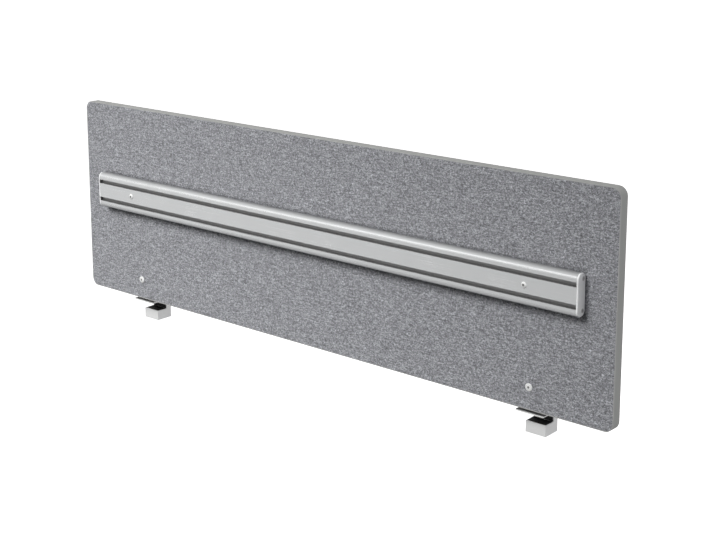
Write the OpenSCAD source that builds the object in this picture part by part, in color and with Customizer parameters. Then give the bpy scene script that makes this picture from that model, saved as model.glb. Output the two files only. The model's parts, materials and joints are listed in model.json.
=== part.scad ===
// Desk-clamped acoustic screen: a felt-faced panel with an organisation rail and two desk clamps.
// Units are millimetres. The user sits on the -Y side, +X is to the right and +Z is up.
// The origin lies midway between the clamps, where the top of the desk meets its rear edge.

/* [Panel] */
// Width of the screen panel
panel_w = 1600; // [1200:50:2000]
// Height of the screen panel
panel_h = 500; // [400:10:700]
// Thickness of the panel over both felt faces
panel_t = 25; // [20:1:35]
// Radius of the four corners of the panel
panel_corner_r = 20; // [10:1:40]
// Thickness of each felt face
felt_t = 2.5; // [1.5:0.5:4]
// Thickness of the band round the edge of the panel
band_t = 2; // [1:0.5:3]
// Distance from the rear edge of the desk to the front face of the panel
panel_reach = 59; // [55:1:80]
// Height of the panel's lower edge above the top plates of the clamps
panel_gap = 7; // [5:1:20]

/* [Rail] */
// Distance from each end of the panel to the outer face of the rail's end cap
rail_inset = 73; // [20:1:150]
// Height of the rail
rail_h = 90; // [84:1:110]
// Depth of the rail from the panel to its front face
rail_d = 27.5; // [25:0.5:35]
// Radius of the rounded edges of the rail
rail_r = 12; // [6:1:12]
// Height of the rail's centre line above the lower edge of the panel
rail_rise = 276; // [180:1:320]
// Wall of the rail's hollow section
rail_wall = 2; // [1.5:0.25:2.5]
// Width of each slot's opening
slot_gap = 10; // [8:0.5:11]
// Depth of each slot
slot_depth = 10; // [8:0.5:12]
// Distance between the centre lines of the two slots
slot_spread = 46; // [40:1:46]
// Height of the undercut behind the upper lip of each slot
hook_rise = 5; // [3:0.5:6]
// Thickness of the lip in front of the undercut
hook_lip = 3.5; // [2.5:0.5:4]
// Thickness of the end caps of the rail
cap_t = 4; // [3:0.5:6]
// Bevel round the outer face of the end caps
cap_bevel = 1.2; // [0.6:0.2:2]

/* [Fixings] */
// Thread diameter of the bolts through the panel
bolt_d = 6; // [5:1:8]
// Height of the lower panel bolts above the lower edge of the panel
bolt_rise = 50; // [35:1:70]
// Diameter of the wide heads of the panel bolts and the sleeve nuts
wide_head_d = 17; // [13:0.5:18]
// Height of the wide heads
wide_head_h = 2.6; // [2:0.2:4]
// Diameter of the rail bolt heads
rail_head_d = 12.5; // [10:0.5:14]
// Height of the rail bolt heads
rail_head_h = 3.2; // [2.8:0.2:5]
// Width across the flats of the bolts' hexagon sockets
bolt_socket = 4; // [3:0.5:5]
// Outer diameter of the sleeve nuts
sleeve_d = 9; // [9:0.5:12]
// Length of the sleeve nuts inside the panel
sleeve_l = 18; // [14:1:19]
// Thread diameter of the screws in the rail's end caps
cap_screw_d = 4.8; // [3.5:0.1:5]
// Length of the end cap screws
cap_screw_l = 19; // [12:1:30]

/* [Clamps] */
// Distance from each end of the panel to the middle of its clamp
clamp_inset = 200; // [120:5:350]
// Opening between the top pad and the clamp block when the clamp is fully open
grip_gap = 26.5; // [20:0.5:60]
// Upward travel of the clamp pad
travel = 7; // [4:0.5:7]
// Width of the clamp block
block_w = 50; // [40:1:70]
// Depth of the clamp block from its front to the rear of its post
block_d = 46; // [42:1:70]
// Height of the lower box of the clamp block
block_h = 25.5; // [24:0.5:40]
// Depth of the post at the rear of the clamp block
post_d = 16; // [14:1:24]
// Wall round the pocket of the clamp block
pocket_wall = 2; // [2:0.5:5]
// Width of the top plate and of the mounting angle
plate_w = 70; // [60:1:100]
// Thickness of the top plate
plate_t = 3; // [2:0.5:5]
// Distance of the top plate's front edge behind the panel's front face
plate_setback = 3; // [0:1:15]
// Thickness of the mounting angle's sheet
angle_t = 3; // [2:0.5:4]
// Height of the mounting angle
angle_h = 84; // [75:1:110]
// Inner radius of the mounting angle's bend
bend_r = 3; // [1:0.5:4]
// Radius of the mounting angle's upper corners
angle_corner_r = 10; // [4:1:20]
// Thread diameter of the clamp screw
clamp_screw_d = 8; // [6:1:10]
// Thickness of the steel pressure plate
press_t = 4; // [3.5:0.5:6]
// Thickness of the rubber clamp pad
pad_t = 3; // [2:0.5:4]
// Thickness of the soft pad under the top plate
top_pad_t = 1; // [0.5:0.5:3]
// Thickness of the liner on the post
liner_t = 1.5; // [1:0.5:2.5]
// Thread diameter of the screws that hold the clamp block
block_screw_d = 5; // [4:1:6]
// Distance between the two screws of a clamp block
block_screw_spread = 28; // [20:1:30]

/* [Hidden] */
$fn = 64;

// Overrun of every cut past the face it leaves
overrun = 1;
// Gap round a screw's shank in its clearance hole
hole_gap = 0.3;
// Gap between a screw's shank and its thread, and between the shaft and its running bores
thread_gap = 0.05;
// Gap round a pad or plate that drops into a recess
drop_gap = 0.3;
// End play of the clamp screw in the pressure plate
end_play = 0.1;

// Planes of the clamp and the panel
plate_z = top_pad_t;
angle_z = plate_z + plate_t;
panel_z = angle_z + panel_gap;
panel_y = -panel_reach;
back_y = panel_y + panel_t;
rail_z = panel_z + rail_rise;
bolt_z = panel_z + bolt_rise;
clamp_x = panel_w / 2 - clamp_inset;
block_y = post_d - block_d;
rim_z = -grip_gap;
block_z = rim_z - block_h;

// Rail
rail_l = panel_w - 2 * rail_inset - 2 * cap_t;
slot_floor = rail_d - slot_depth;
slot_centres = [-slot_spread / 2, slot_spread / 2];
port_wall = 1.6;
port_ring_d = cap_screw_d + 2 * thread_gap + 2 * port_wall;
port_depth = slot_floor / 2;
port_inset = 12;
port_z = rail_h / 2 - port_inset;
cap_head_d = 2 * cap_screw_d;
cap_head_h = (cap_head_d - cap_screw_d) / 2;
cross_w = 1;
cross_span = 5;
cross_deep = 1.6;

// Bolts and nuts
socket_deep = 2;
wide_edge_h = 1.1;
rail_edge_h = 1.2;
bolt_tip_gap = 5;
nut_flats = 10;
nut_h = 5;
nut_dome_d = 9.4;
nut_dome_rise = 4.6;
nut_bore = 8;
nut_bite = 7;

// Clamp screw, its bush, clip and pads
bush_wall = 2.5;
thread_hold = 8;
bush_l = travel + thread_hold;
pocket_floor_gap = 0.5;
pocket_deep = press_t + pad_t + pocket_floor_gap;
pocket_z = rim_z - pocket_deep;
press_z = rim_z - pad_t - press_t;
pocket_w = block_w - 2 * pocket_wall;
pocket_d = block_d - post_d - pocket_wall;
pocket_mid_y = -pocket_d / 2;
screw_tip_inset = 1;
screw_z = block_z + screw_tip_inset;
shoulder_z = press_z - end_play;
screw_chamfer = 0.6;
journal_d = 5;
groove_d = 4;
clip_t = 0.7;
clip_d = 9;
clip_mouth = 2.6;
clip_head = 0.7;
web_share = 0.5;
web_t = press_t * web_share;
clip_z = press_z + web_t + end_play;
clip_room_d = clip_d + 2 * drop_gap;
key_socket = 4;
key_deep = 6;
bush_clear_d = clamp_screw_d + 2 * hole_gap;
top_pad_margin = 2;
liner_margin = 1;
plate_corner_r = 2;
press_corner_r = 1.5;

// Screws of the clamp block
block_head_d = 1.9 * block_screw_d;
block_head_h = 2.8;
block_edge_h = 1;
block_screw_bite = 12;
block_screw_spare = 2;

// Rounded rectangle, centred on x and standing on y = 0
module rounded_rect(w, h, r) {
    translate([-w / 2, r]) square([w, h - 2 * r]);
    translate([r - w / 2, 0]) square([w - 2 * r, h]);
    for (x = [r - w / 2, w / 2 - r], y = [r, h - r]) translate([x, y]) circle(r);
}

// Rounded board standing on z = 0, with its front face on y = 0
module board(w, h, t, r) {
    translate([0, t, 0]) rotate([90, 0, 0]) linear_extrude(t) rounded_rect(w, h, r);
}

// Plate from z = 0 with a bevel of c round its upper face
module bevelled_plate(w, h, t, r, c) {
    linear_extrude(t - c) rounded_rect(w, h, r);
    translate([0, 0, t - c]) {
        for (x = [r - w / 2, w / 2 - r], y = [r, h - r])
            translate([x, y, 0]) cylinder(h = c, r1 = r, r2 = r - c);
        translate([0, h - r, 0]) rotate([90, 0, 0])
            linear_extrude(h - 2 * r) bevel_outline(w, c);
        translate([r - w / 2, h / 2, 0]) rotate([90, 0, 90])
            linear_extrude(w - 2 * r) bevel_outline(h, c);
    }
}

// Trapezium of height c whose upper side is drawn in by c at each end
module bevel_outline(w, c) {
    polygon([[-w / 2, 0], [w / 2, 0], [w / 2 - c, c], [c - w / 2, c]]);
}

// The bit between a square corner at the origin and a round of radius r
module corner_bit(r) {
    difference() {
        square(r);
        translate([r, r]) circle(r);
    }
}

// Round bar along +Y between two planes
module y_bar(d, y0, y1) {
    translate([0, y0, 0]) rotate([-90, 0, 0]) cylinder(d = d, h = y1 - y0);
}

// Places its children at the left and right clamp's middle, at height z
module at_both(z) {
    for (side = [-1, 1]) translate([side * clamp_x, 0, z]) children();
}

// Domed head from z = 0 with a hexagon socket in its top
module domed_head(d, h, edge_h, socket, deep) {
    rise = h - edge_h;
    dome_r = (d * d / 4 + rise * rise) / (2 * rise);
    difference() {
        intersection() {
            cylinder(d = d, h = h);
            translate([0, 0, h - dome_r]) sphere(dome_r);
        }
        translate([0, 0, h - deep])
            cylinder(d = socket / cos(30), h = deep + overrun, $fn = 6);
    }
}

// Bolt with its head above z = 0 and its shank below
module bolt(d, l, head_d, head_h, edge_h) {
    domed_head(head_d, head_h, edge_h, bolt_socket, socket_deep);
    translate([0, 0, -l]) cylinder(d = d, h = l);
}

// Cuts through the panel for its four bolts
module panel_bores() {
    at_both(rail_z)
        y_bar(sleeve_d + 2 * hole_gap, panel_y - overrun, back_y + overrun);
    at_both(bolt_z)
        y_bar(bolt_d + 2 * hole_gap, panel_y - overrun, back_y + overrun);
}

// One layer of the panel inside the edge band
module panel_layer(y0, t) {
    difference() {
        translate([0, y0, panel_z + band_t])
            board(panel_w - 2 * band_t, panel_h - 2 * band_t, t, panel_corner_r - band_t);
        panel_bores();
    }
}

module absorber_core() {
    color([0.78, 0.78, 0.76]) panel_layer(panel_y + felt_t, panel_t - 2 * felt_t);
}

module front_felt() {
    color([0.53, 0.53, 0.55]) panel_layer(panel_y, felt_t);
}

module rear_felt() {
    color([0.53, 0.53, 0.55]) panel_layer(back_y - felt_t, felt_t);
}

module edge_band() {
    color([0.54, 0.55, 0.54]) translate([0, panel_y, panel_z]) difference() {
        board(panel_w, panel_h, panel_t, panel_corner_r);
        translate([0, -overrun, band_t])
            board(panel_w - 2 * band_t, panel_h - 2 * band_t, panel_t + 2 * overrun,
                  panel_corner_r - band_t);
    }
}

// Rail section: x runs from the panel at 0 to the front at -rail_d, y is measured from mid height
module rail_outline(inset) {
    translate([-rail_d / 2, inset - rail_h / 2])
        rounded_rect(rail_d - 2 * inset, rail_h - 2 * inset, rail_r - inset);
}

// Slot that opens at the front and is undercut upwards behind its upper lip
module hook_slot(centre) {
    translate([-rail_d - overrun, centre - slot_gap / 2])
        square([slot_depth + overrun, slot_gap]);
    translate([hook_lip - rail_d, centre - slot_gap / 2])
        square([slot_depth - hook_lip, slot_gap + hook_rise]);
}

// Hollow between two depths and two heights, which keeps the outer wall
module chamber(depth0, depth1, y0, y1) {
    intersection() {
        rail_outline(rail_wall);
        translate([-depth1, y0]) square([depth1 - depth0, y1 - y0]);
    }
}

// Screw port for the end cap screws, on a rib from the back wall
module screw_port(y) {
    translate([-port_depth, y]) circle(d = port_ring_d);
    translate([-port_depth, y - rail_wall / 2]) square([port_depth, rail_wall]);
}

module rail_section() {
    upper = slot_centres[1];
    lower = slot_centres[0];
    half = rail_h / 2;
    above = slot_gap / 2 + hook_rise;
    below = slot_gap / 2;
    difference() {
        union() {
            difference() {
                rail_outline(0);
                chamber(0, rail_d, lower + above + rail_wall, upper - below - rail_wall);
                chamber(0, slot_floor - rail_wall, upper - below, half);
                chamber(0, slot_floor - rail_wall, -half, lower + above);
                chamber(slot_floor, rail_d, upper + above + rail_wall, half);
                chamber(slot_floor, rail_d, -half, lower - below - rail_wall);
            }
            for (y = [-port_z, port_z]) screw_port(y);
        }
        for (centre = slot_centres) hook_slot(centre);
        for (y = [-port_z, port_z])
            translate([-port_depth, y]) circle(d = cap_screw_d + 2 * thread_gap);
    }
}

module rail_profile() {
    color([0.78, 0.79, 0.80]) difference() {
        translate([-rail_l / 2, panel_y, rail_z])
            rotate([90, 0, 90]) linear_extrude(rail_l) rail_section();
        at_both(rail_z)
            y_bar(bolt_d + 2 * hole_gap, panel_y - rail_d - overrun, panel_y + overrun);
    }
}

// Places its children at the rail's two end screws on the outer face of one cap, facing outwards
module at_cap_screws(side) {
    for (z = [-port_z, port_z])
        translate([side * (rail_l / 2 + cap_t), panel_y - port_depth, rail_z + z])
            rotate([0, side * 90, 0]) children();
}

module rail_end_cap(side) {
    color([0.80, 0.81, 0.82]) difference() {
        translate([side * rail_l / 2, panel_y - rail_d / 2, rail_z]) rotate([0, side * 90, 0])
            rotate([0, 0, 90]) translate([0, -rail_h / 2, 0])
                bevelled_plate(rail_d, rail_h, cap_t, rail_r, cap_bevel);
        at_cap_screws(side) {
            translate([0, 0, -cap_t - overrun])
                cylinder(d = cap_screw_d + 2 * hole_gap, h = cap_t + 2 * overrun);
            translate([0, 0, -cap_head_h - thread_gap])
                cylinder(d1 = cap_screw_d, d2 = cap_head_d, h = cap_head_h);
            translate([0, 0, -thread_gap])
                cylinder(d = cap_head_d, h = thread_gap + overrun);
        }
    }
}

module rail_cap_screws() {
    color([0.35, 0.36, 0.37]) for (side = [-1, 1]) at_cap_screws(side) difference() {
        union() {
            translate([0, 0, -cap_head_h])
                cylinder(d1 = cap_screw_d, d2 = cap_head_d, h = cap_head_h);
            translate([0, 0, -cap_screw_l]) cylinder(d = cap_screw_d, h = cap_screw_l - cap_head_h);
        }
        for (turn = [0, 90]) rotate([0, 0, turn])
            translate([-cross_span / 2, -cross_w / 2, -cross_deep])
                cube([cross_span, cross_w, cross_deep + overrun]);
    }
}

module rail_bolts() {
    color([0.82, 0.82, 0.82]) at_both(rail_z) translate([0, panel_y - rail_d, 0])
        rotate([90, 0, 0])
            bolt(bolt_d, rail_d + panel_t - bolt_tip_gap, rail_head_d, rail_head_h, rail_edge_h);
}

// Nuts with a long sleeve that reach into the panel from the rear
module rail_sleeve_nuts() {
    color([0.82, 0.82, 0.82]) at_both(rail_z) translate([0, back_y, 0]) rotate([-90, 0, 0]) {
        domed_head(wide_head_d, wide_head_h, wide_edge_h, bolt_socket, socket_deep);
        translate([0, 0, -sleeve_l]) difference() {
            cylinder(d = sleeve_d, h = sleeve_l);
            translate([0, 0, -overrun])
                cylinder(d = bolt_d + 2 * thread_gap, h = sleeve_l - wide_head_h + overrun);
        }
    }
}

module panel_bolts() {
    color([0.85, 0.85, 0.85]) at_both(bolt_z) translate([0, panel_y, 0]) rotate([90, 0, 0])
        bolt(bolt_d, panel_t + angle_t + nut_bite, wide_head_d, wide_head_h, wide_edge_h);
}

// Hexagon nuts with a closed dome, behind the mounting angles
module panel_cap_nuts() {
    color([0.80, 0.80, 0.80]) at_both(bolt_z) translate([0, back_y + angle_t, 0])
        rotate([-90, 0, 0]) difference() {
            union() {
                cylinder(d = nut_flats / cos(30), h = nut_h, $fn = 6);
                translate([0, 0, nut_h]) intersection() {
                    sphere(d = nut_dome_d);
                    cylinder(d = nut_dome_d, h = nut_dome_rise);
                }
            }
            translate([0, 0, -overrun])
                cylinder(d = bolt_d + 2 * thread_gap, h = nut_bore + overrun);
        }
}

// Side view of the bent angle: x is depth, y is height
module angle_profile() {
    difference() {
        union() {
            translate([back_y, angle_z]) square([angle_t, angle_h]);
            translate([back_y, angle_z]) square([post_d - back_y, angle_t]);
            translate([back_y + angle_t, angle_z + angle_t]) corner_bit(bend_r);
        }
        translate([back_y, angle_z]) corner_bit(bend_r + angle_t);
    }
}

// Places its children over each screw of one clamp block, at height z
module at_block_screws(z) {
    for (x = [-block_screw_spread / 2, block_screw_spread / 2])
        translate([x, post_d / 2, z]) children();
}

module mounting_angle(side) {
    color([0.74, 0.75, 0.76]) translate([side * clamp_x, 0, 0]) difference() {
        intersection() {
            translate([-plate_w / 2, 0, 0]) rotate([90, 0, 90]) linear_extrude(plate_w)
                angle_profile();
            translate([0, back_y - overrun, angle_z - angle_corner_r])
                board(plate_w, angle_h + angle_corner_r, post_d - back_y + 2 * overrun,
                      angle_corner_r);
        }
        translate([0, 0, bolt_z])
            y_bar(bolt_d + 2 * hole_gap, back_y - overrun, back_y + angle_t + overrun);
        at_block_screws(angle_z - overrun)
            cylinder(d = block_screw_d + 2 * hole_gap, h = angle_t + 2 * overrun);
    }
}

module top_plate(side) {
    depth = panel_reach - plate_setback + post_d;
    color([0.82, 0.82, 0.83]) translate([side * clamp_x, 0, plate_z]) difference() {
        translate([0, post_d - depth, 0]) linear_extrude(plate_t)
            rounded_rect(plate_w, depth, plate_corner_r);
        at_block_screws(-overrun)
            cylinder(d = block_screw_d + 2 * hole_gap, h = plate_t + 2 * overrun);
    }
}

// Thin pad between the top plate and the desk
module top_pad(side) {
    depth = panel_reach - plate_setback - top_pad_margin;
    color([0.12, 0.12, 0.12]) translate([side * clamp_x, -depth, 0])
        linear_extrude(top_pad_t)
            rounded_rect(plate_w - 2 * top_pad_margin, depth, plate_corner_r);
}

// Box with a pocket for the pressure plate, and the post behind it that carries the top plate
module clamp_block(side) {
    color([0.79, 0.79, 0.79]) translate([side * clamp_x, 0, 0]) difference() {
        union() {
            translate([-block_w / 2, block_y, block_z]) cube([block_w, block_d, block_h]);
            translate([-block_w / 2, 0, block_z]) cube([block_w, post_d, plate_z - block_z]);
        }
        translate([-pocket_w / 2, -pocket_d, pocket_z])
            cube([pocket_w, pocket_d, pocket_deep + overrun]);
        translate([-pocket_w / 2, -overrun, rim_z])
            cube([pocket_w, liner_t + overrun, grip_gap - liner_margin]);
        translate([0, pocket_mid_y, pocket_z - bush_l])
            cylinder(d = clamp_screw_d + 2 * bush_wall, h = bush_l + overrun);
        translate([0, pocket_mid_y, block_z - overrun])
            cylinder(d = bush_clear_d, h = pocket_z - block_z);
        at_block_screws(plate_z - block_screw_bite)
            cylinder(d = block_screw_d + 2 * thread_gap, h = block_screw_bite + overrun);
    }
}

// Screws from above through the angle and the top plate into the post
module block_screws(side) {
    sheets = angle_t + plate_t;
    color([0.80, 0.80, 0.80]) translate([side * clamp_x, 0, 0])
        at_block_screws(angle_z + angle_t) {
            domed_head(block_head_d, block_head_h, block_edge_h, bolt_socket, socket_deep);
            translate([0, 0, block_screw_spare - block_screw_bite - sheets])
                cylinder(d = block_screw_d, h = block_screw_bite + sheets - block_screw_spare);
        }
}

// Soft liner let into the front of the post, where the edge of the desk comes
module edge_liner(side) {
    color([0.08, 0.08, 0.08])
        translate([side * clamp_x - pocket_w / 2 + drop_gap, 0, rim_z + drop_gap])
            cube([pocket_w - 2 * drop_gap, liner_t, grip_gap - liner_margin - 2 * drop_gap]);
}

module thread_bush(side) {
    color([0.75, 0.68, 0.45]) translate([side * clamp_x, pocket_mid_y, pocket_z - bush_l])
        difference() {
            cylinder(d = clamp_screw_d + 2 * bush_wall, h = bush_l);
            translate([0, 0, -overrun])
                cylinder(d = clamp_screw_d + 2 * thread_gap, h = bush_l + 2 * overrun);
        }
}

// Set screw with a hexagon socket below and a grooved journal above
module clamp_screw(side) {
    body_l = shoulder_z - screw_z;
    small_d = clamp_screw_d - 2 * screw_chamfer;
    color([0.45, 0.46, 0.48]) translate([side * clamp_x, pocket_mid_y, screw_z]) difference() {
        union() {
            cylinder(d1 = small_d, d2 = clamp_screw_d, h = screw_chamfer);
            translate([0, 0, screw_chamfer])
                cylinder(d = clamp_screw_d, h = body_l - screw_chamfer);
            cylinder(d = groove_d, h = clip_z + clip_t + clip_head - screw_z);
            translate([0, 0, body_l - overrun])
                cylinder(d = journal_d, h = clip_z - shoulder_z + overrun);
            translate([0, 0, clip_z + clip_t - screw_z])
                cylinder(d = journal_d, h = clip_head);
        }
        translate([0, 0, -overrun])
            cylinder(d = key_socket / cos(30), h = key_deep + overrun, $fn = 6);
    }
}

// Open ring in the journal's groove, above the web of the pressure plate
module screw_clip(side) {
    color([0.30, 0.30, 0.31]) translate([side * clamp_x, pocket_mid_y, clip_z]) difference() {
        cylinder(d = clip_d, h = clip_t);
        translate([0, 0, -overrun])
            cylinder(d = groove_d + 2 * thread_gap, h = clip_t + 2 * overrun);
        translate([-clip_mouth / 2, 0, -overrun]) cube([clip_mouth, clip_d, clip_t + 2 * overrun]);
    }
}

// Outline of the pressure plate and of the pad on it
module press_outline() {
    translate([0, drop_gap - pocket_d])
        rounded_rect(pocket_w - 2 * drop_gap, pocket_d - 2 * drop_gap, press_corner_r);
}

module pressure_plate(side) {
    color([0.62, 0.63, 0.64]) translate([side * clamp_x, 0, press_z]) difference() {
        linear_extrude(press_t) press_outline();
        translate([0, pocket_mid_y, -overrun])
            cylinder(d = journal_d + 2 * thread_gap, h = press_t + overrun);
        translate([0, pocket_mid_y, web_t]) cylinder(d = clip_room_d, h = press_t);
    }
}

module clamp_pad(side) {
    color([0.07, 0.07, 0.07]) translate([side * clamp_x, 0, rim_z - pad_t])
        linear_extrude(pad_t) press_outline();
}

absorber_core();
front_felt();
rear_felt();
edge_band();
rail_profile();
rail_end_cap(-1);  // rail_end_cap_left
rail_end_cap(1);  // rail_end_cap_right
rail_cap_screws();
rail_bolts();
rail_sleeve_nuts();
panel_bolts();
panel_cap_nuts();
mounting_angle(-1);  // mounting_angle_left
mounting_angle(1);  // mounting_angle_right
top_plate(-1);  // top_plate_left
top_plate(1);  // top_plate_right
top_pad(-1);  // top_pad_left
top_pad(1);  // top_pad_right
clamp_block(-1);  // clamp_block_left
clamp_block(1);  // clamp_block_right
block_screws(-1);  // block_screws_left
block_screws(1);  // block_screws_right
edge_liner(-1);  // edge_liner_left
edge_liner(1);  // edge_liner_right
thread_bush(-1);  // thread_bush_left
thread_bush(1);  // thread_bush_right
clamp_screw(-1);  // clamp_screw_left
clamp_screw(1);  // clamp_screw_right
screw_clip(-1);  // screw_clip_left
screw_clip(1);  // screw_clip_right
pressure_plate(-1);  // pressure_plate_left
pressure_plate(1);  // pressure_plate_right
clamp_pad(-1);  // clamp_pad_left
clamp_pad(1);  // clamp_pad_right
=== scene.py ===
# Looks of the desk-clamped acoustic screen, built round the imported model. Lengths are in metres.
import json
import math

import bpy
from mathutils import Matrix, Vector


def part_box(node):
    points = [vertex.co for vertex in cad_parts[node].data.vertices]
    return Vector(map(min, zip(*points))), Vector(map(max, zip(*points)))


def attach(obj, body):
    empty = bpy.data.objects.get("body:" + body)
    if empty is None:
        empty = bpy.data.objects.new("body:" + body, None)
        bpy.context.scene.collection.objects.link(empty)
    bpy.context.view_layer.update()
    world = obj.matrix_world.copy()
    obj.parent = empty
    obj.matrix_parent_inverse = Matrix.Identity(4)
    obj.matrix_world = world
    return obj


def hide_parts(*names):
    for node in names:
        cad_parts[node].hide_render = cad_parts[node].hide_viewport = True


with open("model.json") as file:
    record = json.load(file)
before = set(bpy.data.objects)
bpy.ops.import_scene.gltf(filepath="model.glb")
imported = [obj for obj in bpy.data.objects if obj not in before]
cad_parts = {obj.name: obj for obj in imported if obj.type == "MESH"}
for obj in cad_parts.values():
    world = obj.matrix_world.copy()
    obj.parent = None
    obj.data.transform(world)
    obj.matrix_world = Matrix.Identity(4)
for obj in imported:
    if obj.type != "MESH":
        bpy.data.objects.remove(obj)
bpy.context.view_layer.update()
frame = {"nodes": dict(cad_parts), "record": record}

NODES = frame["nodes"]
MM = 0.001

# Photograph, in pixels: its size, the row that the optical axis meets and the focal length
PHOTO_W = 716
PHOTO_H = 540
AXIS_ROW = 150
FOCAL_PX = 1425.4

# Camera: its aim on the panel's front plane, heading and tilt in radians, distance and near and
# far limits; and the width of its sensor in millimetres
AIM_X = 0.1369
AIM_Z = 0.5001
CAMERA_YAW = 0.705
CAMERA_PITCH = 0.198
CAMERA_DISTANCE = 3.1507
CLIP_NEAR = 0.05
CLIP_FAR = 60.0
SENSOR_W = 36.0

# Floor, one desk height below the top of the desk that the screen is clamped to
DESK_HEIGHT = 0.72
FLOOR_SIZE = 30.0
FLOOR_TONE = (0.9, 0.9, 0.9, 1)
FLOOR_GLOW = 0.9

# Key light: a soft oblong behind a grid, which leaves a cone of KEY_SPREAD degrees open
KEY_PLACE = (-1.4, -4.7, 3.75)
KEY_AIM = (-0.46, -0.05, -1.87)
KEY_SIZE = (3.0, 3.4)
KEY_POWER = 80.5
KEY_TONE = (1, 1, 0.985)
KEY_SPREAD = 60

# Studio: an even level, then lobes of light, each with a direction, a level and a sharpness
BACKDROP_LEVEL = 1.05
MATT_DOME = (0.05, [
    ((0, -0.6, 0.8), 0.30, 2),
    ((1, -0.05, 0.1), 1.4, 12),
    ((0.85, 0.45, 0.1), 1.15, 5),
    ((-0.3, 1, -0.1), 2.6, 10),
])
GLOSS_DOME = (0.30, [
    ((-0.57, -0.67, 0.43), 2.3, 60),
    ((-0.4, 0.3, 0.85), 0.25, 2),
    ((0.85, -0.3, 0.15), 1.0, 3),
    ((-0.75, 0.6, -0.2), 0.6, 3),
    ((0, 0, -1), 0.35, 3),
])

# What a noise mostly fills of its range from 0 to 1
NOISE_REACH = (0.3, 0.7)

# Painted shade on the felt round the rail's edge: how fast it fades outwards, and how deep it is
CONTACT_SHADE_FADE = 3 * MM
CONTACT_SHADE_DEPTH = 0.36

# Felt sheets: round corners, a rolled rim, dimples round the wide heads, and slight waves, each
# with its radians per metre and its start
FELT_CORNER = 18 * MM
ROLL_WIDTH = 1.1 * MM
ROLL_DROP = 0.6
DIMPLE_DEPTH = 0.45 * MM
DIMPLE_REACH = 7 * MM
WAVE_HEIGHT = 0.04 * MM
WAVE_X = (41, 1.3)
WAVE_Z = (57, 0.4)
FELT_CREASE = math.radians(50)

# Lines of a felt sheet's grid: from its outline, elsewhere, inside a head, and outside it
RIM_LINES = [0.25 * MM, 0.6 * MM, 1.1 * MM, 1.8 * MM, 3 * MM, 5 * MM]
GRID_STEP = 8 * MM
HEAD_SHARES = (0.35, 0.7)
HEAD_OFFSETS = (0 * MM, 1 * MM, 2.5 * MM, 4.5 * MM, 7 * MM)

# Round on the arrises of each slot's CAD nodes; the slots not named here keep theirs sharp
ARRISES = {
    "band": 0.5 * MM, "rail": 0.25 * MM, "cap": 0.3 * MM, "bolt": 0.2 * MM, "screw": 0.1 * MM,
    "bracket": 0.35 * MM, "block": 0.6 * MM, "bush": 0.2 * MM, "steel": 0.2 * MM, "pad": 0.4 * MM,
}
ARRIS_SEGMENTS = 2
ARRIS_ANGLE = math.radians(32)
WELD_GAP = 0.005 * MM
FLAT_ANGLE = math.radians(0.3)
FACE_WEIGHT = 100


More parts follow.
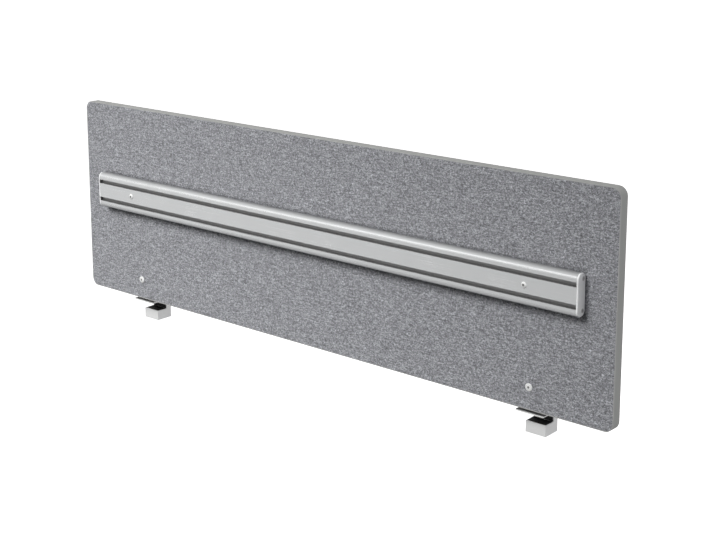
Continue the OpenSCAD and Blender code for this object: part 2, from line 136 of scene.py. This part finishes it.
class Surface:
    """A material with one Principled shader, whose patterns lie in the part's own coordinates."""

    def __init__(self, name, **values):
        self.material = bpy.data.materials.new(name)
        self.material.use_nodes = True
        self.tree = self.material.node_tree
        self.shader = self.tree.nodes["Principled BSDF"]
        for key, value in values.items():
            self.shader.inputs[key.replace("_", " ")].default_value = value
        self.place = self.add("ShaderNodeTexCoord").outputs["Object"]

    def add(self, kind, inputs=None, **settings):
        """A new node, with its settings and with values or links on its inputs."""
        node = self.tree.nodes.new(kind)
        for key, value in settings.items():
            setattr(node, key, value)
        for key, value in (inputs or {}).items():
            if isinstance(value, bpy.types.NodeSocket):
                self.tree.links.new(value, node.inputs[key])
            else:
                node.inputs[key].default_value = value
        return node

    def math(self, operation, a, b=0.0):
        """Result of one operation on two values or sockets."""
        return self.add("ShaderNodeMath", {0: a, 1: b}, operation=operation).outputs[0]

    def noise(self, size, turn=0.0, detail=2.0, rough=0.5, warp=0.0, at=(0, 0, 0)):
        """Noise whose grains measure size along x, y and z, turned about y, from about 0 to 1."""
        where = self.add("ShaderNodeMapping", {
            "Vector": self.place, "Location": at,
            "Rotation": (0, math.radians(turn), 0), "Scale": size,
        }, vector_type="TEXTURE")
        return self.add("ShaderNodeTexNoise", {
            "Vector": where.outputs[0], "Scale": 1.0, "Detail": detail,
            "Roughness": rough, "Distortion": warp,
        }).outputs["Fac"]

    def spread(self, value, low, high, to_low=0.0, to_high=1.0):
        """Maps the range from low to high onto another, and stops at its ends."""
        return self.add("ShaderNodeMapRange", {
            "Value": value, "From Min": low, "From Max": high,
            "To Min": to_low, "To Max": to_high,
        }).outputs["Result"]

    def tones(self, value, stops):
        """Colours at their places from 0 to 1."""
        node = self.add("ShaderNodeValToRGB", {"Fac": value})
        marks = node.color_ramp.elements
        while len(marks) < len(stops):
            marks.new(0.5)
        for mark, (place, tone) in zip(marks, stops):
            mark.position = place
            mark.color = (*tone, 1.0)
        return node.outputs["Color"]

    def mix(self, mask, off, on):
        """One colour where the mask is 0, another where it is 1; each a socket or three numbers."""
        node = self.tree.nodes.new("ShaderNodeMix")
        node.data_type = "RGBA"
        factor, first, second = node.inputs[0], node.inputs[6], node.inputs[7]
        self.tree.links.new(mask, factor)
        for socket, value in ((first, off), (second, on)):
            if isinstance(value, bpy.types.NodeSocket):
                self.tree.links.new(value, socket)
            else:
                socket.default_value = (*value, 1.0)
        return node.outputs[2]

    def total(self, parts):
        """Sum of values, each times its share."""
        sum_so_far = None
        for value, share in parts:
            scaled = self.math("MULTIPLY", value, share)
            sum_so_far = scaled if sum_so_far is None else self.math("ADD", sum_so_far, scaled)
        return sum_so_far

    def axes(self):
        """The three coordinates in the part's frame."""
        return self.add("ShaderNodeSeparateXYZ", {"Vector": self.place}).outputs

    def set(self, socket, value):
        """Links a pattern to one of the shader's inputs."""
        self.tree.links.new(value, self.shader.inputs[socket])

    def tint(self, pattern, dark, light, reach=NOISE_REACH):
        """Base colour that runs from dark to light over the reach of a pattern."""
        low, high = reach
        self.set("Base Color", self.tones(pattern, [(low, dark), (high, light)]))

    def roughen(self, pattern, least, most):
        """Roughness that runs from least to most over the reach of a noise."""
        self.set("Roughness", self.spread(pattern, *NOISE_REACH, least, most))

    def cover(self, mask, tone, rough):
        """Another colour and roughness where the mask is 1, over those that are already linked."""
        base = self.shader.inputs["Base Color"].links[0].from_socket
        self.set("Base Color", self.mix(mask, base, tone))
        before = self.shader.inputs["Roughness"].links[0].from_socket
        kept = self.math("MULTIPLY", before, self.math("SUBTRACT", 1.0, mask))
        self.set("Roughness", self.math("ADD", kept, self.math("MULTIPLY", mask, rough)))

    def bump(self, height, depth, strength):
        """Relief in the shading alone: a height times depth, at a strength from 0 to 1."""
        node = self.add("ShaderNodeBump", {
            "Height": height, "Distance": depth, "Strength": strength,
        })
        self.set("Normal", node.outputs["Normal"])


def grey(value, warm=0.0):
    """A grey that leans to yellow by warm, or to blue where warm is negative."""
    return (value * (1 + warm), value, value * (1 - warm))


def felt_tone(value):
    """The felt's cool grey."""
    return (value * 0.985, value, value * 1.075)


def felt_material():
    """Needled felt of mixed light and dark fibres."""
    s = Surface("felt_melange", Roughness=0.93, Sheen_Weight=0.12, Sheen_Roughness=0.5,
                Specular_IOR_Level=0.25)

    def fibres(length, width, turns, low, high):
        """Short fibres that lie at several angles: 1 on a fibre and 0 beside it."""
        strongest = 0.0
        for turn in turns:
            field = s.noise((length, width, width), turn=turn, detail=1, warp=0.3,
                            at=(3 * turn * MM, 0, 5 * turn * MM))
            strongest = s.math("MAXIMUM", strongest, s.spread(field, low, high))
        return strongest

    light = fibres(7 * MM, 1.6 * MM, (4, -14, 24, -38, 66), 0.56, 0.70)
    dark = fibres(7 * MM, 1.6 * MM, (9, -21, 33, -55, 84), 0.56, 0.70)
    specks = s.noise((3.5 * MM, 2.0 * MM, 3.1 * MM), detail=1)
    carded = s.noise((32 * MM, 3.1 * MM, 3.1 * MM), turn=3, detail=1)
    crossed = s.noise((24 * MM, 2.8 * MM, 2.8 * MM), turn=-6, detail=1)
    clouds = s.noise((34 * MM, 20 * MM, 22 * MM), detail=2, warp=0.6)
    hairs = fibres(4 * MM, 0.5 * MM, (20, -40, 85), 0.5, 0.7)
    mixed = s.total([
        (light, 0.38), (dark, -0.38), (specks, 0.80), (carded, 0.45), (crossed, 0.45),
        (clouds, 0.10), (hairs, 0.04),
    ])
    mottled = s.tones(s.spread(mixed, 0.26, 1.60), [
        (0.0, felt_tone(0.08)), (0.35, felt_tone(0.20)),
        (0.6, felt_tone(0.36)), (1.0, felt_tone(0.80)),
    ])
    # Painted shade on the felt round the rail's outline
    s.set("Base Color", s.mix(painted_contact_shade(s), mottled, felt_tone(0.02)))
    s.bump(s.total([(hairs, 0.3), (light, 0.4), (dark, -0.4), (specks, 0.8)]), 0.4 * MM, 0.8)
    return s.material


def painted_contact_shade(s):
    """Mask of painted shade on the felt's front, which fades from the outline of the rail."""
    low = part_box("rail_end_cap_left")[0]
    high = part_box("rail_end_cap_right")[1]
    x, y, z = s.axes()
    beside = s.math("SUBTRACT", s.math("ABSOLUTE", x), high.x)
    level = s.math("ABSOLUTE", s.math("SUBTRACT", z, (low.z + high.z) / 2))
    above = s.math("SUBTRACT", level, (high.z - low.z) / 2)
    away = s.math("MAXIMUM", s.math("MAXIMUM", beside, above), 0.0)
    fade = s.math("EXPONENT", s.math("DIVIDE", away, -CONTACT_SHADE_FADE))
    front = s.math("LESS_THAN", y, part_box("absorber_core")[0].y)
    return s.math("MULTIPLY", s.math("MULTIPLY", fade, CONTACT_SHADE_DEPTH), front)


def board_material():
    """Pressed fibre board of the core."""
    s = Surface("absorber_board", Roughness=0.95, Specular_IOR_Level=0.2)
    grain = s.noise((4 * MM, 4 * MM, 4 * MM), detail=4, rough=0.7)
    s.tint(grain, grey(0.42, 0.02), grey(0.60, 0.02))
    s.bump(grain, 0.4 * MM, 0.6)
    return s.material


def band_material():
    """Smooth matt edge band, with a painted highlight along its front edge."""
    s = Surface("edge_band_matt", Specular_IOR_Level=0.4)
    grain = s.noise((0.8 * MM, 0.8 * MM, 0.8 * MM), detail=3, rough=0.6)
    drift = s.noise((120 * MM, 30 * MM, 120 * MM), detail=2)
    mixed = s.total([(grain, 0.4), (drift, 0.6)])
    s.tint(mixed, (0.335, 0.339, 0.332), (0.374, 0.378, 0.370))
    s.roughen(grain, 0.58, 0.72)
    y = s.axes()["Y"]
    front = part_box("edge_band")[0].y
    # Painted highlight on the band's rim in front, which fades out towards its back
    line_full, line_end = 0.8 * MM, 1.2 * MM
    s.cover(s.spread(y, front + line_end, front + line_full), grey(0.42), 0.6)
    s.bump(grain, 0.06 * MM, 0.5)
    return s.material


def mount_place(name):
    """Where one of the record's mounts is."""
    places = {mount["name"]: mount["pos_m"] for mount in frame["record"]["mounts"]}
    return Vector(places[name])


def drawn_surface(name, tone, rough, along, metallic):
    """Satin metal or silver paint with fine lines along one axis."""
    s = Surface(name, Metallic=metallic)
    length, width = 260 * MM, 0.22 * MM
    lines = s.noise([length if axis == along else width for axis in "xyz"], detail=3, rough=0.6)
    haze = s.noise((70 * MM, 70 * MM, 40 * MM), detail=2)
    mixed = s.total([(lines, 0.7), (haze, 0.3)])
    cool = -0.014
    s.tint(mixed, grey(tone * 0.94, cool), grey(tone * 1.05, cool))
    s.roughen(mixed, rough - 0.05, rough + 0.05)
    s.bump(lines, 0.012 * MM, 0.4)
    return s


def rail_material():
    """Satin anodised extrusion drawn along x, with painted shade towards the felt and inside its
    slots.
    """
    s = drawn_surface("rail_anodised", 0.85, 0.24, "x", 0.45)
    _, y, z = s.axes()
    low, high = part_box("rail_profile")
    face, foot = low.y, high.y
    # Painted shade, deepening from the front face towards the felt
    bend, deepest = 0.62, 0.97
    shade = s.math("POWER", s.spread(y, face, foot), bend)
    s.cover(s.math("MULTIPLY", shade, deepest), grey(0.10), 0.5)
    lip_start, lip_end = 0.3 * MM, 1.0 * MM
    slot_reach = 6.9 * MM
    dark_below, light_above = 6 * MM, 0.5 * MM
    # Painted shade inside each slot, darker towards its bottom
    behind = s.spread(y, face + lip_start, face + lip_end)
    for name in ("rail_slot_upper", "rail_slot_lower"):
        middle = mount_place(name).z
        off = s.math("ABSOLUTE", s.math("SUBTRACT", z, middle))
        inside = s.math("LESS_THAN", off, slot_reach)
        rise = s.spread(z, middle - dark_below, middle + light_above)
        painted_slot_shade = s.mix(rise, grey(0.10), grey(0.68))
        s.cover(s.math("MULTIPLY", inside, behind), painted_slot_shade, 0.55)
    return s.material


def cap_material():
    """Satin end caps, drawn along z, with painted shade on their ends and dark painted shade on
    their inner faces.
    """
    s = drawn_surface("cap_satin", 0.95, 0.30, "z", 0.0)
    aside = s.math("ABSOLUTE", s.axes()["X"])
    # Painted shade on the caps' inner faces, which face into the slots
    inner_rim, outer_rim = 0.2 * MM, 0.4 * MM
    inner = s.math("LESS_THAN", aside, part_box("rail_profile")[1].x + inner_rim)
    s.cover(inner, grey(0.16), 0.6)
    # Painted shade on the caps' outer ends
    outer = s.math("GREATER_THAN", aside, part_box("rail_end_cap_right")[1].x - outer_rim)
    s.cover(s.math("MULTIPLY", outer, 0.6), grey(0.68), 0.3)
    return s.material


def plated_surface(name, tone, rough, warm=0.0, metallic=1.0):
    """Plated small part with slight cloudiness."""
    s = Surface(name, Metallic=metallic)
    haze = s.noise((3 * MM, 3 * MM, 3 * MM), detail=3, rough=0.6)
    s.tint(haze, grey(tone * 0.92, warm), grey(tone * 1.06, warm))
    s.roughen(haze, rough - 0.05, rough + 0.07)
    s.bump(haze, 0.01 * MM, 0.3)
    return s


def bolt_material():
    """Bright nickel heads, with painted shade round and inside their hexagon sockets."""
    s = plated_surface("bolt_nickel", 0.94, 0.30, metallic=0.2)
    x, y, z = s.axes()
    socket_r = 2.35 * MM
    ring_r = 3 * MM
    rim = 0.25 * MM
    head_h = 4 * MM
    for node, facing in (("rail_bolts", -1), ("panel_bolts", -1), ("rail_sleeve_nuts", 1)):
        low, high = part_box(node)
        middle = (low.z + high.z) / 2
        reach = (high.z - low.z) / 2
        across = s.math("SUBTRACT", s.math("ABSOLUTE", x), high.x - reach)
        up = s.math("SUBTRACT", z, middle)
        away = s.math("SQRT", s.math("ADD", s.math("POWER", across, 2), s.math("POWER", up, 2)))
        depth = s.math("ABSOLUTE", s.math("SUBTRACT", y, low.y if facing < 0 else high.y))
        in_head = s.math("LESS_THAN", depth, head_h)
        # Painted shade: a grey ring round each socket, and a dark socket inside it
        s.cover(s.math("MULTIPLY", s.math("LESS_THAN", away, ring_r), in_head), grey(0.50), 0.4)
        below_rim = s.math("MULTIPLY", s.math("GREATER_THAN", depth, rim), in_head)
        s.cover(s.math("MULTIPLY", s.math("LESS_THAN", away, socket_r), below_rim), grey(0.18), 0.5)
    return s.material


def coated_surface(name, tone):
    """Silver powder coat with a fine orange peel and small flakes."""
    s = Surface(name, Metallic=0.3, Coat_Weight=0.15, Coat_Roughness=0.3)
    peel = s.noise((1.1 * MM, 1.1 * MM, 1.1 * MM), detail=2)
    flakes = s.noise((0.25 * MM, 0.25 * MM, 0.25 * MM), detail=1)
    mixed = s.total([(peel, 0.5), (flakes, 0.5)])
    cool = -0.004
    s.tint(mixed, grey(tone * 0.93, cool), grey(tone * 1.06, cool), reach=(0.32, 0.68))
    s.roughen(flakes, 0.38, 0.52)
    s.bump(peel, 0.04 * MM, 0.5)
    return s


def bracket_material():
    """Silver coat, with painted shade in the gap under the panel and a painted highlight on the
    plates' edges there.
    """
    s = coated_surface("bracket_silver_coat", 0.80)
    _, y, z = s.axes()
    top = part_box("top_plate_left")[1].z
    panel_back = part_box("rear_felt")[1].y
    fade_start, fade_end, face_depth = 1 * MM, 6 * MM, 0.2 * MM
    under = s.spread(y, panel_back - fade_start, panel_back - fade_end)
    above = s.math("GREATER_THAN", z, top - face_depth)
    # Painted shade on the plates' tops in the gap under the panel
    s.cover(s.math("MULTIPLY", above, under), grey(0.26), 0.7)
    # Painted highlight on the plates' front edges under the panel
    s.cover(s.math("MULTIPLY", s.math("SUBTRACT", 1.0, above), under), grey(0.97), 0.5)
    return s.material


def brass_material():
    """Turned brass."""
    s = Surface("bush_brass", Metallic=1.0)
    rings = s.noise((30 * MM, 30 * MM, 0.15 * MM), detail=2)
    s.tint(rings, (0.50, 0.38, 0.17), (0.68, 0.54, 0.28))
    s.roughen(rings, 0.24, 0.38)
    s.bump(rings, 0.02 * MM, 0.4)
    return s.material


def rubber_material():
    """Matt black rubber with a fine grain, with painted light on the liners that meet the desk's
    edge.
    """
    s = Surface("pad_rubber", Specular_IOR_Level=0.35)
    grain = s.noise((0.5 * MM, 0.5 * MM, 0.5 * MM), detail=3, rough=0.65)
    dust = s.noise((9 * MM, 9 * MM, 9 * MM), detail=3)
    mixed = s.total([(grain, 0.5), (dust, 0.5)])
    s.tint(mixed, grey(0.010), grey(0.032), reach=(0.3, 0.75))
    s.roughen(dust, 0.62, 0.80)
    low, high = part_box("edge_liner_left")
    _, y, z = s.axes()
    margin = 0.1 * MM
    liner = s.math("MULTIPLY", s.math("GREATER_THAN", y, low.y - margin),
                   s.math("LESS_THAN", z, high.z + margin))
    # Painted light: the liners are greyer than the rest of the rubber
    s.cover(liner, grey(0.075), 0.6)
    s.bump(grain, 0.08 * MM, 0.6)
    return s.material


MATERIALS = {
    "absorber": board_material(),
    "felt": felt_material(),
    "band": band_material(),
    "rail": rail_material(),
    "cap": cap_material(),
    "bolt": bolt_material(),
    "screw": plated_surface("screw_dark_zinc", 0.55, 0.38, metallic=0.6).material,
    "bracket": bracket_material(),
    "block": coated_surface("block_silver_coat", 0.89).material,
    "bush": brass_material(),
    "steel": plated_surface("steel_zinc", 0.50, 0.32, 0.01).material,
    "pad": rubber_material(),
}


def smooth(mesh):
    """Smooth shading on all faces of a mesh."""
    mesh.polygons.foreach_set("use_smooth", [True] * len(mesh.polygons))


def finish_node(node, slot):
    """Gives a CAD node its material and, by modifiers alone, the real piece's round arrises."""
    piece = NODES[node]
    piece.data.materials.clear()
    piece.data.materials.append(MATERIALS[slot])
    if slot not in ARRISES:
        return
    smooth(piece.data)
    weld = piece.modifiers.new("weld", "WELD")
    weld.merge_threshold = WELD_GAP
    flat = piece.modifiers.new("flat_faces", "DECIMATE")
    flat.decimate_type = "DISSOLVE"
    flat.angle_limit = FLAT_ANGLE
    bevel = piece.modifiers.new("arrises", "BEVEL")
    bevel.width = ARRISES[slot]
    bevel.segments = ARRIS_SEGMENTS
    bevel.limit_method = "ANGLE"
    bevel.angle_limit = ARRIS_ANGLE
    shade = piece.modifiers.new("shading", "WEIGHTED_NORMAL")
    shade.weight = FACE_WEIGHT


def grid_lines(low, high, marks, near):
    """Lines from low to high: the rim's at both ends, some near each mark, and even ones."""
    lines = {low, high}
    lines.update(low + rim for rim in RIM_LINES)
    lines.update(high - rim for rim in RIM_LINES)
    inner_low, inner_high = low + RIM_LINES[-1], high - RIM_LINES[-1]
    count = round((inner_high - inner_low) / GRID_STEP)
    even = [inner_low + (inner_high - inner_low) * i / count for i in range(1, count)]
    clear = near[-1] + GRID_STEP / 2
    lines.update(x for x in even if all(abs(x - mark) > clear for mark in marks))
    lines.update(mark + side * offset for mark in marks for offset in near for side in (-1, 1))
    return sorted(lines)


def round_corner(x, z, low, high):
    """Moves a point of the square grid so that the sheet's corners become round."""
    cx = min(max(x, low.x + FELT_CORNER), high.x - FELT_CORNER)
    cz = min(max(z, low.z + FELT_CORNER), high.z - FELT_CORNER)
    dx, dz = x - cx, z - cz
    if dx == 0 or dz == 0:
        return x, z
    shrink = max(abs(dx), abs(dz)) / math.hypot(dx, dz)
    return cx + dx * shrink, cz + dz * shrink


def wave(place, rate, start):
    """Height of one wave, from -1 to 1."""
    return math.sin(place * rate + start)


def felt_drop(x, z, low, high, heads):
    """How far the felt lies behind its front plane: at its rolled rim, its dimples and waves."""
    inset = min(x - low.x, high.x - x, z - low.z, high.z - z)
    edge = min(inset / ROLL_WIDTH, 1.0)
    drop = ROLL_WIDTH * ROLL_DROP * (1 - math.sqrt(max(0.0, 1 - (1 - edge) ** 2)))
    for head_x, head_z, head_r in heads:
        away = math.hypot(x - head_x, z - head_z) - head_r
        drop = max(drop, DIMPLE_DEPTH * (1 - min(max(away / DIMPLE_REACH, 0.0), 1.0)) ** 2)
    return drop + WAVE_HEIGHT * (wave(x, *WAVE_X) * wave(z, *WAVE_Z) + 1)


def close_sheet(points, wide, back):
    """Points and faces of a closed sheet: a grid that faces -y, its side walls and a flat back."""
    tall = len(points) // wide
    faces = []
    for j in range(tall - 1):
        for i in range(wide - 1):
            a = j * wide + i
            faces.append((a, a + 1, a + wide + 1, a + wide))
    ring = list(range(wide)) + [j * wide + wide - 1 for j in range(1, tall)]
    ring += [(tall - 1) * wide + i for i in range(wide - 2, -1, -1)]
    ring += [j * wide for j in range(tall - 2, 0, -1)]
    first, count = len(points), len(ring)
    points = points + [(points[k][0], back, points[k][2]) for k in ring]
    for k in range(count):
        n = (k + 1) % count
        faces.append((ring[k], first + k, first + n, ring[n]))
    faces.append(tuple(range(first + count - 1, first - 1, -1)))
    return points, faces


def felt_sheet(name, node, heads, facing):
    """One felt face, which faces -y or y, with a closed back against the core."""
    low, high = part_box(node)
    front, back = (low.y, high.y) if facing < 0 else (high.y, low.y)
    head_r = heads[0][2]
    near = [head_r * share for share in HEAD_SHARES] + [head_r + wider for wider in HEAD_OFFSETS]
    xs = grid_lines(low.x, high.x, sorted({x for x, z, r in heads}), near)
    zs = grid_lines(low.z, high.z, sorted({z for x, z, r in heads}), near)
    plan = [round_corner(x, z, low, high) for z in zs for x in xs]
    grid = [(x, front - facing * felt_drop(x, z, low, high, heads), z) for x, z in plan]
    points, faces = close_sheet(grid, len(xs), back)
    if facing > 0:
        faces = [face[::-1] for face in faces]
    mesh = bpy.data.meshes.new(name)
    mesh.from_pydata(points, [], faces)
    smooth(mesh)
    mesh.set_sharp_from_angle(angle=FELT_CREASE)
    mesh.materials.append(MATERIALS["felt"])
    piece = bpy.data.objects.new(name, mesh)
    bpy.context.scene.collection.objects.link(piece)
    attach(piece, "screen")
    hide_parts(node)


def head_places(node):
    """Centres of the two heads of a node of bolts or nuts, with their radius."""
    low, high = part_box(node)
    radius = (high.z - low.z) / 2
    return [(low.x + radius, low.z + radius, radius), (high.x - radius, low.z + radius, radius)]


def make_floor():
    """Plain pale floor far below, which the object doesn't stand on."""
    bpy.ops.mesh.primitive_plane_add(size=FLOOR_SIZE, location=(0, 0, -DESK_HEIGHT))
    floor = bpy.context.object
    floor.name = "floor"
    s = Surface("floor_white", Base_Color=FLOOR_TONE, Roughness=0.8,
                Emission_Color=(1, 1, 1, 1), Emission_Strength=FLOOR_GLOW)
    floor.data.materials.append(s.material)
    floor.visible_diffuse = False
    floor.visible_glossy = False


def make_world():
    """White surroundings for the camera, one soft dome for matt surfaces and one for gloss."""
    world = bpy.data.worlds.new("studio")
    bpy.context.scene.world = world
    world.use_nodes = True
    tree = world.node_tree
    sky = tree.nodes["Background"]
    sky.inputs["Color"].default_value = (1, 1, 1, 1)
    way = tree.nodes.new("ShaderNodeTexCoord").outputs["Generated"]
    ray = tree.nodes.new("ShaderNodeLightPath").outputs

    def step(operation, a, b, kind="ShaderNodeMath", result=0):
        """Result of one operation on two values or sockets."""
        node = tree.nodes.new(kind)
        node.operation = operation
        for socket, value in zip(node.inputs, (a, b)):
            if isinstance(value, bpy.types.NodeSocket):
                tree.links.new(value, socket)
            else:
                socket.default_value = value
        return node.outputs[result]

    def dome(base, lobes):
        """Even light, and lobes that are each a direction, a level and a sharpness."""
        level = base
        for toward, strength, sharp in lobes:
            facing = step("DOT_PRODUCT", way, Vector(toward).normalized(),
                          "ShaderNodeVectorMath", "Value")
            facing = step("POWER", step("MAXIMUM", facing, 0.0), sharp)
            level = step("ADD", level, step("MULTIPLY", facing, strength))
        return level

    def choose(switch, off, on):
        """One value where the switch is 0 and another where it is 1."""
        kept = step("MULTIPLY", off, step("SUBTRACT", 1.0, switch))
        return step("ADD", kept, step("MULTIPLY", on, switch))

    # A ray counts as glossy only if no matt surface has scattered it
    straight = step("LESS_THAN", ray["Diffuse Depth"], 0.5)
    glossy = step("MULTIPLY", ray["Is Glossy Ray"], straight)
    level = choose(glossy, dome(*MATT_DOME), dome(*GLOSS_DOME))
    level = choose(ray["Is Camera Ray"], level, BACKDROP_LEVEL)
    tree.links.new(level, sky.inputs["Strength"])
    # The level depends on the kind of ray, so the world isn't sampled as a light
    world.cycles.sampling_method = "NONE"


def make_key_light():
    """Soft light from the upper left front, which glossy surfaces don't mirror."""
    data = bpy.data.lights.new("key_left", "AREA")
    data.shape = "RECTANGLE"
    data.size, data.size_y = KEY_SIZE
    data.energy = KEY_POWER
    data.color = KEY_TONE
    data.spread = math.radians(KEY_SPREAD)
    light = bpy.data.objects.new("key_left", data)
    bpy.context.scene.collection.objects.link(light)
    ahead = Vector(KEY_AIM) - Vector(KEY_PLACE)
    light.location = KEY_PLACE
    light.rotation_euler = ahead.to_track_quat("-Z", "Y").to_euler()
    light.visible_glossy = False


def make_camera():
    """Camera at the place that the straight edges of the photograph give."""
    data = bpy.data.cameras.new("photo_camera")
    data.sensor_fit = "HORIZONTAL"
    data.sensor_width = SENSOR_W
    data.lens = FOCAL_PX * SENSOR_W / PHOTO_W
    data.shift_y = (AXIS_ROW - PHOTO_H / 2) / PHOTO_W
    data.clip_start, data.clip_end = CLIP_NEAR, CLIP_FAR
    camera = bpy.data.objects.new("photo_camera", data)
    bpy.context.scene.collection.objects.link(camera)
    ahead = Vector((-math.sin(CAMERA_YAW) * math.cos(CAMERA_PITCH),
                    math.cos(CAMERA_YAW) * math.cos(CAMERA_PITCH), -math.sin(CAMERA_PITCH)))
    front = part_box("front_felt")[0].y
    camera.location = Vector((AIM_X, front, AIM_Z)) - ahead * CAMERA_DISTANCE
    camera.rotation_euler = ahead.to_track_quat("-Z", "Y").to_euler()
    bpy.context.scene.camera = camera


for part in frame["record"]["subparts"]:
    finish_node(part["node"], part["material_slot"])

felt_sheet("felt_face_front", "front_felt", head_places("panel_bolts"), -1)
felt_sheet("felt_face_rear", "rear_felt", head_places("rail_sleeve_nuts"), 1)

make_floor()
make_world()
make_key_light()
make_camera()
bpy.context.scene.view_settings.view_transform = "Standard"
